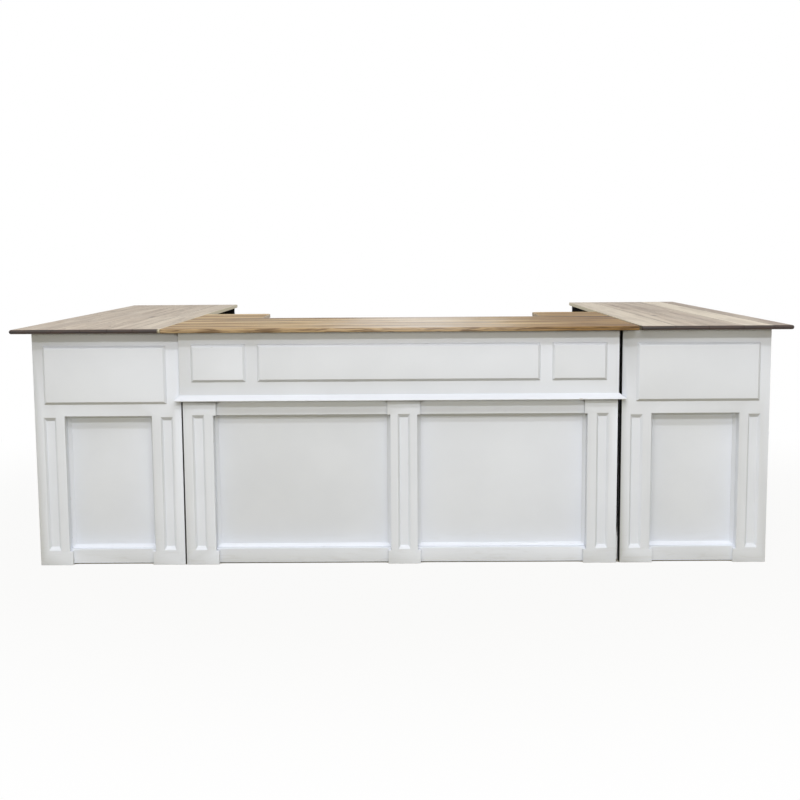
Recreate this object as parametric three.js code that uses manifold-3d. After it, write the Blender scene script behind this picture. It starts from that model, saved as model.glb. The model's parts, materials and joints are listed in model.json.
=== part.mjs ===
// Modular bar counter with shelves: a centre unit between two long wings, set in a U.
// Millimetres, +Z up. X runs along the front, +Y away from the guests, and the front faces -Y.
// The origin is on the floor, in the middle of the bar's outline.
import * as THREE from "three";
import { ConvexGeometry } from "three/addons/geometries/ConvexGeometry.js";
import { mergeVertices } from "three/addons/utils/BufferGeometryUtils.js";
import Module from "manifold-3d";

const wasm = await Module();
wasm.setup();

// Sizes shared by the three units
const topHeight = 1067; // finished height of the bar top
const topThickness = 19;
const overhang = 76; // tops past the panels below them, on the guests' sides and over the centre unit's ends
const plywood = 18; // carcass boards
const sheet = 12; // sheets behind the recesses
const recessDepth = 57; // from the faces of the pilasters and stiles to the sheets
const faceBoard = 19; // pilasters and plinths in front of their rails
const footGap = 4; // sheets and base rails clear the floor, so the plinths carry the front
const play = 0.3; // between pieces that slip into or past each other
const pass = 1; // cutters run this far past the faces that they open
const recessTop = 676;
const mouldingDepth = 12; // panel moulding, from the sheet forwards
const mouldingWidth = 16;
const plinthHeight = 62;
const sillStep = 7; // base rails above the plinths
const pilasterWidth = 146; // over the capital and the plinth
const shaftStep = 13; // shafts and stiles are narrower than their plinths, on each side that meets a recess
const fluteWidth = 54;
const fluteDepth = 12;
const fluteBevel = 9; // slope of a flute's sides
const fluteEndBevel = 16; // and of its ends
const fluteMargin = 5; // flute ends inside the shaft's ends
const pilasterFluteRise = 8; // flutes of the pilasters end this much higher than those of the wings
const raise = 12; // thickness of the raised panels
const raiseBevel = 12;
const deckHeight = 72; // underside of the decks
const kickSetback = 20; // kick boards behind the open faces
const shelfSetback = 18; // shelves and dividers behind the open faces

// Centre unit
const centreWidth = 1928;
const centreTopDepth = 838;
const middleOffset = 16; // the middle pilaster stands off centre
const headerHeight = 67; // header rail and capitals, from the recesses up to the frieze
const friezeLap = 10; // frieze past the left end of the body below it
const friezeLapRight = 1; // and past its right end
const friezeThickness = 12;
const friezePanelWidth = 243; // each short raised panel, at its base
const friezePanelGap = 50;
const friezePanelEnd = 52; // from the end of the frieze to the first raised panel
const friezePanelFoot = 56; // raised panels above the ledge
const friezePanelHead = 54; // and below the top
const ledgeHeight = 27;
const ledgeReach = 22; // ledge past the frieze, in front and at the left end
const ledgeReachRight = 31; // and at the right end
const ledgeNose = 4;

// Corner shelf cases behind the ends of the centre unit
const cornerBoardLength = 342; // along X
const cornerBoardDepth = 418; // along Y
const cornerBoardRound = 30;
const cornerLap = 15; // corner boards past their cases
const cornerShelves = 2;

// Wings
const wingWidth = 652; // front frame
const wingTopLength = 2438;
const topSeam = 2; // least gap between a wing's top and the centre top
const wingLap = 15; // top past the open side and the back end
const wingSetback = 1; // front frame behind the pilaster faces of the centre unit
const gapLeft = 7; // between the centre unit and the left wing
const gapRight = 17;
const stileWidth = 132;
const wingPanelInner = 62; // margins of the raised panel on the front frame
const wingPanelOuter = 44;
const wingPanelFoot = 53; // raised panels above the recesses
const wingPanelHead = 58; // and below the top
const sideRecesses = 3;
const wingDividers = 2;

// Worked out from the sizes above
const topUnderside = topHeight - topThickness;
const halfCentre = centreWidth / 2;
const halfCentreTop = halfCentre + overhang;
const centreBack = centreTopDepth - overhang; // back edge of the centre top
const recessBottom = plinthHeight + sillStep; // top of the base rails
const friezeBottom = recessTop + headerHeight;
const friezeFace = -friezeThickness;
const friezeEnds = [-halfCentre - friezeLap, halfCentre + friezeLapRight];
const deckTop = deckHeight + plywood;
const wingTopInset = overhang + topSeam - Math.min(gapLeft, gapRight); // from the front frame's inner edge
const wingBack = wingTopLength - overhang; // back edge of the wing tops
const wingEnd = wingBack - wingLap;

// Finishes
const finish = (color, roughness) => () => new THREE.MeshStandardMaterial({ color, roughness, metalness: 0 });
const whitePaint = finish(0xe2e4e6, 0.45);
const blackPaint = finish(0x171615, 0.7);
const goldenWood = finish(0x9c7748, 0.35);
const greyWood = finish(0xa8957f, 0.5);

// A mesh of the given name in a group.
function addMesh(group, name, geometry, material) {
  const mesh = new THREE.Mesh(geometry, material());
  mesh.name = name;
  group.add(mesh);
  return mesh;
}

// A straight board between three pairs of limits.
function addBoard(group, name, [x0, x1], [y0, y1], [z0, z1], material) {
  const mesh = addMesh(group, name, new THREE.BoxGeometry(x1 - x0, y1 - y0, z1 - z0), material);
  mesh.position.set((x0 + x1) / 2, (y0 + y1) / 2, (z0 + z1) / 2);
  return mesh;
}

// A face that trim is set out on: u runs along it, d goes into it and z goes up.
const frontFace = (y) => (u, d, z) => new THREE.Vector3(u, y + d, z);
const sideFace = (x, side) => (u, d, z) => new THREE.Vector3(side * (x - d), u, z);

// A block on a face whose rectangle goes from near, at depth d0, to far, at depth d1.
function taper(face, near, d0, far, d1) {
  const corners = (rect, d) => rect.u.flatMap((u) => rect.z.map((z) => face(u, d, z)));
  return new ConvexGeometry([...corners(near, d0), ...corners(far, d1)]);
}

const block = (face, rect, d0, d1) => taper(face, rect, d0, rect, d1);

// A rectangle on a face, made smaller by the same margin on each edge.
const inset = ({ u, z }, margin) => ({
  u: [u[0] + margin, u[1] - margin],
  z: [z[0] + margin, z[1] - margin],
});

// Solids for cutting and joining, and back again.
function solidOf(geometry) {
  const plain = new THREE.BufferGeometry();
  plain.setAttribute("position", geometry.getAttribute("position"));
  if (geometry.index) plain.setIndex(geometry.index);
  const merged = mergeVertices(plain, 1e-3);
  const vertProperties = new Float32Array(merged.getAttribute("position").array);
  const triVerts = new Uint32Array(merged.index.array);
  return new wasm.Manifold(new wasm.Mesh({ numProp: 3, vertProperties, triVerts }));
}

function geometryOf(solid) {
  const mesh = solid.getMesh();
  const geometry = new THREE.BufferGeometry();
  geometry.setAttribute("position", new THREE.BufferAttribute(new Float32Array(mesh.vertProperties), 3));
  geometry.setIndex(new THREE.BufferAttribute(new Uint32Array(mesh.triVerts), 1));
  return geometry;
}

function cut(geometry, cutters) {
  const whole = solidOf(geometry);
  return geometryOf(cutters.reduce((rest, cutter) => rest.subtract(solidOf(cutter)), whole));
}

// A sunk flute with bevelled sides and ends, as a cutter on a face.
function flute(face, middle, bottom, top) {
  const mouth = { u: [middle - fluteWidth / 2, middle + fluteWidth / 2], z: [bottom, top] };
  const { u } = inset(mouth, fluteBevel);
  const { z } = inset(mouth, fluteEndBevel);
  return taper(face, mouth, 0, { u, z }, fluteDepth);
}

// A raised panel with bevelled edges, standing on a face.
function raisedPanel(face, rect) {
  return taper(face, inset(rect, raiseBevel), -raise, rect, 0);
}

// The sloped hole of a panel moulding: full size in front, less its slopes at the sheet.
function mouldingHole(face, rect) {
  return taper(face, rect, recessDepth - mouldingDepth, inset(rect, mouldingWidth), recessDepth);
}

// A pilaster: a face board lapped over the header rail and the base rail, on a shaft that fills between them.
// stepLeft and stepRight say how far the shaft stands in from the plinth on each side.
function pilaster(left, stepLeft, stepRight) {
  const face = frontFace(0);
  const right = left + pilasterWidth;
  const shaft = [left + stepLeft, right - stepRight];
  const outline = new THREE.Shape([
    new THREE.Vector2(left, 0),
    new THREE.Vector2(right, 0),
    new THREE.Vector2(right, plinthHeight),
    new THREE.Vector2(shaft[1], plinthHeight),
    new THREE.Vector2(shaft[1], recessTop),
    new THREE.Vector2(right, recessTop),
    new THREE.Vector2(right, friezeBottom),
    new THREE.Vector2(left, friezeBottom),
    new THREE.Vector2(left, recessTop),
    new THREE.Vector2(shaft[0], recessTop),
    new THREE.Vector2(shaft[0], plinthHeight),
    new THREE.Vector2(left, plinthHeight),
  ]);
  const front = new THREE.ExtrudeGeometry(outline, { depth: faceBoard, bevelEnabled: false });
  front.rotateX(Math.PI / 2).translate(0, faceBoard, 0);
  const core = block(face, { u: shaft, z: [recessBottom, recessTop] }, faceBoard / 2, recessDepth);
  const middle = (shaft[0] + shaft[1]) / 2;
  const fluteTop = recessTop - fluteMargin + pilasterFluteRise;
  const groove = flute(face, middle, plinthHeight + fluteMargin, fluteTop);
  return geometryOf(solidOf(front).add(solidOf(core)).subtract(solidOf(groove)));
}

// The ledge: a sloped cap on a nose, mitred round the ends of the frieze.
function ledge() {
  const nose = [friezeBottom, friezeBottom + ledgeNose];
  const plan = (reach, endReach) => ({
    u: [friezeEnds[0] - reach, friezeEnds[1] + endReach],
    y: friezeFace - reach,
  });
  const ring = ({ u, y }, z) => u.flatMap((x) => [y, 0].map((at) => new THREE.Vector3(x, at, z)));
  const wide = plan(ledgeReach, ledgeReachRight);
  const cap = new ConvexGeometry([
    ...ring(wide, nose[0]),
    ...ring(wide, nose[1]),
    ...ring(plan(0, 0), friezeBottom + ledgeHeight),
  ]);
  const frieze = block(
    frontFace(0),
    { u: friezeEnds, z: [friezeBottom - pass, topUnderside] },
    friezeFace,
    pass,
  );
  return cut(cap, [frieze]);
}

// A board with slots for the boards that cross it, each half its depth.
function slotted(size, slots) {
  const boxAt = ([x0, x1], [y0, y1], [z0, z1]) =>
    new THREE.BoxGeometry(x1 - x0, y1 - y0, z1 - z0).translate((x0 + x1) / 2, (y0 + y1) / 2, (z0 + z1) / 2);
  return cut(boxAt(...size), slots.map((slot) => boxAt(...slot)));
}

const widened = ([from, to]) => [from - play, to + play];

// Places of the boards that part a span into equal bays.
function evenBoards([from, to], count) {
  const bay = (to - from - count * plywood) / (count + 1);
  return Array.from({ length: count }, (_, i) => {
    const start = from + (i + 1) * bay + i * plywood;
    return [start, start + plywood];
  });
}

const insideHeight = [deckTop, topUnderside]; // over the decks
const [shelfZ] = evenBoards(insideHeight, 1); // one long shelf, half way up

function centreUnit() {
  const unit = new THREE.Group();
  const face = frontFace(0);
  const inner = halfCentre - plywood;
  const caseInner = halfCentreTop - cornerBoardLength + cornerLap;
  const caseBack = centreBack + cornerBoardDepth - cornerLap;
  const carcassBack = centreBack - plywood;
  const inside = recessDepth + sheet; // front of the open carcass
  const fullHeight = [0, topUnderside];

  // Front
  const friezeRect = { u: friezeEnds, z: [friezeBottom, topUnderside] };
  const bodyX = [-halfCentre, halfCentre];
  const innerX = [-inner, inner];
  const railY = [faceBoard, recessDepth];
  addBoard(unit, "centre_recess_sheet", innerX, [recessDepth, inside], [footGap, topUnderside], whitePaint);
  addBoard(unit, "centre_header_board", bodyX, [0, recessDepth], [friezeBottom, topUnderside], whitePaint);
  addMesh(unit, "centre_frieze_board", block(face, friezeRect, friezeFace, 0), whitePaint);
  addMesh(unit, "centre_ledge_moulding", ledge(), whitePaint);
  addBoard(unit, "centre_header_rail", bodyX, railY, [recessTop, friezeBottom], whitePaint);
  addBoard(unit, "centre_base_rail", bodyX, railY, [footGap, recessBottom], whitePaint);

  // Raised panels on the frieze: short, long, short
  const [outerLeft, outerRight] = [friezeEnds[0] + friezePanelEnd, friezeEnds[1] - friezePanelEnd];
  const shortLeft = [outerLeft, outerLeft + friezePanelWidth];
  const shortRight = [outerRight - friezePanelWidth, outerRight];
  const panelSpans = {
    left: shortLeft,
    middle: [shortLeft[1] + friezePanelGap, shortRight[0] - friezePanelGap],
    right: shortRight,
  };
  const panelZ = [friezeBottom + ledgeHeight + friezePanelFoot, topUnderside - friezePanelHead];
  for (const [place, u] of Object.entries(panelSpans)) {
    const panel = raisedPanel(frontFace(friezeFace), { u, z: panelZ });
    addMesh(unit, "centre_frieze_panel_" + place, panel, whitePaint);
  }

  // Pilasters, and the panel mouldings in the two recesses between their shafts
  const middleLeft = middleOffset - pilasterWidth / 2;
  addMesh(unit, "centre_pilaster_left", pilaster(-halfCentre, 0, shaftStep), whitePaint);
  addMesh(unit, "centre_pilaster_middle", pilaster(middleLeft, shaftStep, shaftStep), whitePaint);
  addMesh(unit, "centre_pilaster_right", pilaster(halfCentre - pilasterWidth, shaftStep, 0), whitePaint);
  const outerShaft = halfCentre - pilasterWidth + shaftStep;
  const recessSpans = {
    left: [-outerShaft, middleLeft + shaftStep],
    right: [middleLeft + pilasterWidth - shaftStep, outerShaft],
  };
  for (const [place, u] of Object.entries(recessSpans)) {
    const rect = { u, z: [recessBottom, recessTop] };
    const strip = block(face, rect, recessDepth - mouldingDepth, recessDepth);
    const moulding = cut(strip, [mouldingHole(face, rect)]);
    addMesh(unit, "centre_panel_moulding_" + place, moulding, whitePaint);
  }

  // Carcass, open at the back
  addBoard(unit, "centre_deck", innerX, [inside, carcassBack], [deckHeight, deckTop], blackPaint);
  const kickBack = carcassBack - kickSetback;
  addBoard(unit, "centre_kick_board", innerX, [kickBack - plywood, kickBack], [0, deckHeight], blackPaint);
  const dividerX = [-plywood / 2, plywood / 2];
  const shelfY = [inside, carcassBack - shelfSetback];
  const crossing = (shelfY[0] + shelfY[1]) / 2;
  const divider = slotted(
    [dividerX, shelfY, insideHeight],
    [[widened(dividerX), [crossing - play, carcassBack], widened(shelfZ)]],
  );
  addMesh(unit, "centre_divider", divider, blackPaint);
  const shelf = slotted(
    [innerX, shelfY, shelfZ],
    [[widened(dividerX), [inside - pass, crossing + play], widened(shelfZ)]],
  );
  addMesh(unit, "centre_shelf", shelf, blackPaint);

  // Ends, each with a corner shelf case behind the top
  for (const [place, side] of [["left", -1], ["right", 1]]) {
    const across = (from, to) => (side < 0 ? [-to, -from] : [from, to]);
    const endX = across(inner, halfCentre);
    const caseX = across(caseInner, inner);
    const shelfX = across(caseInner + shelfSetback, inner);
    const caseY = [centreBack, caseBack - plywood];
    const name = "corner_case_" + place;
    addBoard(unit, "centre_end_panel_" + place, endX, [recessDepth, caseBack], fullHeight, blackPaint);
    addBoard(unit, name + "_front", caseX, [carcassBack, centreBack], fullHeight, blackPaint);
    addBoard(unit, name + "_back", caseX, [caseBack - plywood, caseBack], fullHeight, blackPaint);
    addBoard(unit, name + "_deck", caseX, caseY, [deckHeight, deckTop], blackPaint);
    evenBoards(insideHeight, cornerShelves).forEach((z, i) => {
      addBoard(unit, name + "_shelf_" + (i + 1), shelfX, caseY, z, blackPaint);
    });
    addMesh(unit, "corner_board_" + place, cornerBoard(side), goldenWood).position.z = topUnderside;
  }

  addBoard(
    unit,
    "centre_top",
    [-halfCentreTop, halfCentreTop],
    [-overhang, centreBack],
    [topUnderside, topHeight],
    goldenWood,
  );
  return unit;
}

// A corner board, with its free corner rounded.
function cornerBoard(side) {
  const near = side * (halfCentreTop - cornerBoardLength);
  const far = side * halfCentreTop;
  const back = centreBack + cornerBoardDepth;
  const r = cornerBoardRound;
  const outline = new THREE.Shape();
  outline.moveTo(far, centreBack);
  outline.lineTo(far, back);
  outline.lineTo(near + side * r, back);
  outline.quadraticCurveTo(near, back, near, back - r);
  outline.lineTo(near, centreBack);
  outline.closePath();
  return new THREE.ExtrudeGeometry(outline, { depth: topThickness, bevelEnabled: false });
}

// A face frame: a deep upper part, recesses between fluted stiles on plinths, and set-back base rails.
// The frame runs along u from start to end, with the given number of recesses.
function faceFrame(face, start, end, recesses, height) {
  const whole = { u: [start, end], z: [0, height] };
  const recessWidth = (end - start - (recesses + 1) * stileWidth) / recesses;
  const pitch = recessWidth + stileWidth;
  const cutters = [];
  for (let i = 0; i < recesses; i += 1) {
    const from = start + stileWidth + i * pitch;
    const recess = { u: [from, from + recessWidth], z: [recessBottom, recessTop] };
    const rail = { u: [from + shaftStep, from + recessWidth - shaftStep], z: [-pass, recessBottom + pass] };
    const shoulder = { u: recess.u, z: [plinthHeight, recessBottom + pass] };
    cutters.push(block(face, recess, -pass, recessDepth - mouldingDepth));
    cutters.push(mouldingHole(face, recess));
    cutters.push(block(face, rail, -pass, faceBoard));
    cutters.push(block(face, shoulder, -pass, faceBoard));
    cutters.push(block(face, { u: rail.u, z: [-pass, footGap] }, -pass, recessDepth + pass));
  }
  for (let i = 0; i <= recesses; i += 1) {
    const middle = start + i * pitch + stileWidth / 2;
    cutters.push(flute(face, middle, plinthHeight + fluteMargin, recessTop - fluteMargin));
  }
  return cut(block(face, whole, 0, recessDepth), cutters);
}

// A wing: side is -1 for the left wing and 1 for the right one, gap its distance from the centre unit.
function wingUnit(name, side, gap) {
  const unit = new THREE.Group();
  const start = halfCentre + gap; // inner edge of the front frame
  const end = start + wingWidth; // outer face
  const open = start + wingTopInset + wingLap; // open inner side of the carcass
  const across = (from, to) => (side < 0 ? [-to, -from] : [from, to]);
  const front = frontFace(wingSetback);
  const outer = sideFace(end, side);
  const sheetFront = wingSetback + recessDepth;
  const inside = sheetFront + sheet; // front end of the carcass
  const endBoard = wingEnd - plywood;
  const bayY = [inside, endBoard]; // carcass between its two ends
  const backOfFrame = end - recessDepth;
  const backOfSide = backOfFrame - sheet;
  const frameTop = topUnderside - play;
  const u = across(start, end);
  const flip = (pair) => (side < 0 ? [pair[1], pair[0]] : pair);
  const margins = flip([wingPanelInner, wingPanelOuter]);

  // Front end
  addMesh(unit, name + "_front_frame", faceFrame(front, u[0], u[1], 1, frameTop), whitePaint);
  const frontSheetX = across(start, backOfFrame);
  addBoard(unit, name + "_front_sheet", frontSheetX, [sheetFront, inside], [footGap, frameTop], whitePaint);
  const panelZ = [recessTop + wingPanelFoot, topUnderside - wingPanelHead];
  const frontPanel = raisedPanel(front, { u: [u[0] + margins[0], u[1] - margins[1]], z: panelZ });
  addMesh(unit, name + "_front_panel", frontPanel, whitePaint);

  // Outer side
  const sideFrame = faceFrame(outer, sheetFront, endBoard, sideRecesses, topUnderside);
  addMesh(unit, name + "_side_frame", sideFrame, whitePaint);
  const sideSheetX = across(backOfSide, backOfFrame);
  addBoard(unit, name + "_side_sheet", sideSheetX, bayY, [footGap, topUnderside], whitePaint);
  const sidePanelU = [sheetFront + wingPanelOuter, endBoard - wingPanelOuter];
  addMesh(unit, name + "_side_panel", raisedPanel(outer, { u: sidePanelU, z: panelZ }), whitePaint);

  // Carcass, open on its inner side
  const kick = open + kickSetback;
  addBoard(unit, name + "_back_end", across(open, end), [endBoard, wingEnd], [0, topUnderside], whitePaint);
  addBoard(unit, name + "_deck", across(open, backOfSide), bayY, [deckHeight, deckTop], blackPaint);
  addBoard(unit, name + "_kick_board", across(kick, kick + plywood), bayY, [0, deckHeight], blackPaint);
  const shelfX = across(open + shelfSetback, backOfSide);
  const crossing = (shelfX[0] + shelfX[1]) / 2;
  const lowHalf = [shelfX[0] - pass, crossing + play];
  const highHalf = [crossing - play, shelfX[1] + pass];
  const [openHalf, closedHalf] = side < 0 ? [highHalf, lowHalf] : [lowHalf, highHalf];
  const dividersY = evenBoards(bayY, wingDividers);
  dividersY.forEach((y, i) => {
    const divider = slotted([shelfX, y, insideHeight], [[openHalf, widened(y), widened(shelfZ)]]);
    addMesh(unit, name + "_divider_" + (i + 1), divider, blackPaint);
  });
  const slots = dividersY.map((y) => [closedHalf, widened(y), widened(shelfZ)]);
  addMesh(unit, name + "_shelf", slotted([shelfX, bayY, shelfZ], slots), blackPaint);

  addBoard(
    unit,
    name + "_top",
    across(start + wingTopInset, end + overhang),
    [-overhang, wingBack],
    [topUnderside, topHeight],
    greyWood,
  );
  return unit;
}

const bar = new THREE.Group();
bar.add(centreUnit(), wingUnit("left_wing", -1, gapLeft), wingUnit("right_wing", 1, gapRight));
bar.position.set((gapLeft - gapRight) / 2, (overhang - wingBack) / 2, 0);

export default bar;
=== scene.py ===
"""Looks of a U-shaped bar counter: painted joinery, plank tops and a black inside, on a white stage."""

import json
import logging
import math
from dataclasses import dataclass
from enum import Enum

import bmesh
import bpy
import numpy as np
from bpy.types import ID, Material, Mesh, Node, NodeSocket, NodeTree, Object
from mathutils import Matrix, Vector


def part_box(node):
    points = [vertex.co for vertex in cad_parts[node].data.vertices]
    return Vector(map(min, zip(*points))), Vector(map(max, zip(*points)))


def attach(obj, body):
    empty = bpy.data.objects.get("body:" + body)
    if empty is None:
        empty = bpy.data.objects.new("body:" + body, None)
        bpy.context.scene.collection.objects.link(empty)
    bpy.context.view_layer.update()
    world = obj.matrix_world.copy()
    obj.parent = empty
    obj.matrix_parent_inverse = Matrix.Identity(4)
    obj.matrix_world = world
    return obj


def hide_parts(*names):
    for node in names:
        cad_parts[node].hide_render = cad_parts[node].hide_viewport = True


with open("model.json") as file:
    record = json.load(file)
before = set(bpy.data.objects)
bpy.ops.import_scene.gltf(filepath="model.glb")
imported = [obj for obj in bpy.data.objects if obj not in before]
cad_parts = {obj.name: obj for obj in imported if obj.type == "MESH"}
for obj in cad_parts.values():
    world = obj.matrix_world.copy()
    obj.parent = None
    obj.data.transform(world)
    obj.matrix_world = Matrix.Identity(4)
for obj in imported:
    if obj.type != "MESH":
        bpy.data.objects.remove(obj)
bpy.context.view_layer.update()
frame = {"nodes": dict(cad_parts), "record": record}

LOG = logging.getLogger("bar")
MM = 0.001

# Joinery
MERGE = 0.01 * MM  # corners of loose triangles closer than this are one corner
FLAT = math.radians(1.0)  # faces that turn less than this are one face
SOFT_EDGE = math.radians(25.0)  # edges that turn more than this are eased
EASE_STEPS = 2  # rows of faces on an eased edge
FACE_PAINT, EDGE_PAINT, INSIDE_PAINT = 0, 1, 2  # material numbers of a painted piece
FACING = 0.9  # how squarely a face looks inside to be painted black, as a cosine
SCUFF_REACH = 0.16  # metres above the floor
PAINTED_SHADE_REACH = 24.0 * MM  # how close an edge above must be to cast the painted shade

# Planks
ROUND_STEPS = 5  # rings of a plank's rounded end
RING_STEP = 0.012  # metres between the rings along a plank
SECTION_STEP = 0.03  # metres between the points across it
SWAY = 0.15 * MM  # mean depth of the slow waves in its top
SWAY_WAVES = ((2.1, 0, 1.0), (0, 13, 1.0), (7, 23, 0.6))  # radians per metre of X and of Y, and height
SWAY_MOST = sum(height for _, _, height in SWAY_WAVES)
CHIP_WAVES = ((31, 0.4), (67, 0.3), (149, 0.2), (331, 0.1))  # radians per metre, and share of the chips
GRAIN_STEP, GRAIN_SPAN = 0.37, 5  # metres of log from one seed to the next, and until it starts again
POLISH_FADE = 0.35  # metres over which the shine of the varnish fades out

# Screws
SCREW_COUNT = 9
SCREW_REACH = 1.0  # metres from the middle of the top to the last screw on each side
SCREW_SINK = 0.6 * MM  # how far the heads lie below the top
SCREW_SIDES = 12
SCREW_PROFILE = ((1.0, -1.0), (1.0, 0.05), (0.86, 0.16), (0.45, 0.12), (0.3, -0.3))  # radii, and mm up

Colour = tuple[float, float, float, float]
Point = tuple[float, float, float]
WHITE: Colour = (1.0, 1.0, 1.0, 1.0)


def srgb(red: int, green: int, blue: int) -> Colour:
    """A colour as the eye reads it, turned into the linear light that shaders use.

    Args:
        red, green, blue: parts of the colour, from 0 to 255.

    Returns:
        The linear colour, with full alpha.
    """
    parts = np.array([red, green, blue]) / 255.0
    linear = np.where(parts <= 0.04045, parts / 12.92, ((parts + 0.055) / 1.055) ** 2.4)
    return (*(float(part) for part in linear), 1.0)


class Side(Enum):
    """A direction that a face of a board looks in."""

    LEFT = (-1, 0, 0)
    RIGHT = (1, 0, 0)
    BACK = (0, 1, 0)
    FRONT = (0, -1, 0)


class Run(Enum):
    """The way that the planks of a top run, as the turn that lays their grain along X."""

    ALONG_FRONT = 0.0
    ALONG_WING = math.pi / 2


class Graph:
    """A node tree that is written one node at a time, from values and from sockets of other nodes."""

    def __init__(self, tree: NodeTree) -> None:
        """Takes the tree to write into."""
        self.tree = tree

    def feed(self, node: Node, inputs: dict) -> None:
        """Sets the inputs of a node.

        Args:
            node: the node.
            inputs: socket name or number to a value, or to the socket that feeds it.
        """
        for key, value in inputs.items():
            if isinstance(value, NodeSocket):
                self.tree.links.new(value, node.inputs[key])
            else:
                node.inputs[key].default_value = value

    def add(self, kind: str, inputs: dict | None = None, **settings: object) -> Node:
        """Adds a shader node.

        Args:
            kind: the node's type, without its prefix.
            inputs: its inputs, as for feed.
            settings: the node's own properties.

        Returns:
            The new node.
        """
        node = self.tree.nodes.new("ShaderNode" + kind)
        for key, value in settings.items():
            setattr(node, key, value)
        self.feed(node, inputs or {})
        return node

    def placed(self, group: NodeTree, **inputs: object) -> Node:
        """Puts a node group into the tree, with its inputs by name."""
        return self.add("Group", inputs, node_tree=group)

    def attribute(self, name: str) -> NodeSocket:
        """A number that each point of the mesh holds."""
        return self.add("Attribute", attribute_name=name).outputs["Fac"]

    def part(self, vector: object, axis: str) -> NodeSocket:
        """The X, Y or Z of a vector."""
        return self.add("SeparateXYZ", {0: vector}).outputs[axis]

    def math(self, operation: str, *values: object, clamp: bool = False) -> NodeSocket:
        """The result of a sum on one, two or three values."""
        node = self.add("Math", dict(enumerate(values)), operation=operation, use_clamp=clamp)
        return node.outputs[0]

    def plus(self, base: object, value: object, share: float) -> NodeSocket:
        """A base value with a share of another value added to it."""
        return self.math("ADD", base, self.math("MULTIPLY", value, share))

    def step(self, value: object, low: float, high: float) -> NodeSocket:
        """A smooth step from 0 at low to 1 at high, on either side of which it stays level."""
        inputs = {"Value": value, "From Min": low, "From Max": high}
        return self.add("MapRange", inputs, interpolation_type="SMOOTHSTEP").outputs["Result"]

    def mix(self, first: object, second: object, share: object, how: str = "MIX") -> NodeSocket:
        """A colour between two colours, by the share of the second."""
        node = self.add("Mix", {0: share, 6: first, 7: second}, data_type="RGBA", blend_type=how)
        return node.outputs[2]

    def tint(self, colour: object, towards: Colour, mask: object, amount: float) -> NodeSocket:
        """A colour moved towards another by an amount, where a mask is 1."""
        return self.mix(colour, towards, self.math("MULTIPLY", mask, amount))

    def noise(self, vector: object, scale: float, detail: float = 3.0, twist: float = 0.0) -> NodeSocket:
        """Noise from 0 to 1 over a vector."""
        inputs = {"Vector": vector, "Scale": scale, "Detail": detail, "Distortion": twist}
        return self.add("TexNoise", inputs).outputs["Fac"]

    def stretched(self, vector: object, scales: Point) -> NodeSocket:
        """A vector scaled by its own amount along each axis."""
        return self.add("VectorMath", {0: vector, 1: scales}, operation="MULTIPLY").outputs["Vector"]

    def streaks(self, vector: object, scales: Point, detail: float = 3.0, twist: float = 0.0) -> NodeSocket:
        """Noise from 0 to 1 that is stretched by its own amount along each axis."""
        return self.noise(self.stretched(vector, scales), 1.0, detail, twist)


def new_group(
    name: str, inputs: dict[str, str], outputs: tuple[str, ...]
) -> tuple[Graph, dict[str, NodeSocket], Node]:
    """Starts a shader node group.

    Args:
        name: the group's name.
        inputs: input name to its kind, Float or Vector.
        outputs: names of the values that it puts out.

    Returns:
        The graph to write, its input sockets by name and its output node.
    """
    tree = bpy.data.node_groups.new(name, "ShaderNodeTree")
    for label, kind in inputs.items():
        tree.interface.new_socket(label, in_out="INPUT", socket_type="NodeSocket" + kind)
    for label in outputs:
        tree.interface.new_socket(label, in_out="OUTPUT", socket_type="NodeSocketFloat")
    source = tree.nodes.new("NodeGroupInput")
    target = tree.nodes.new("NodeGroupOutput")
    return Graph(tree), {label: source.outputs[label] for label in inputs}, target


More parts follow.
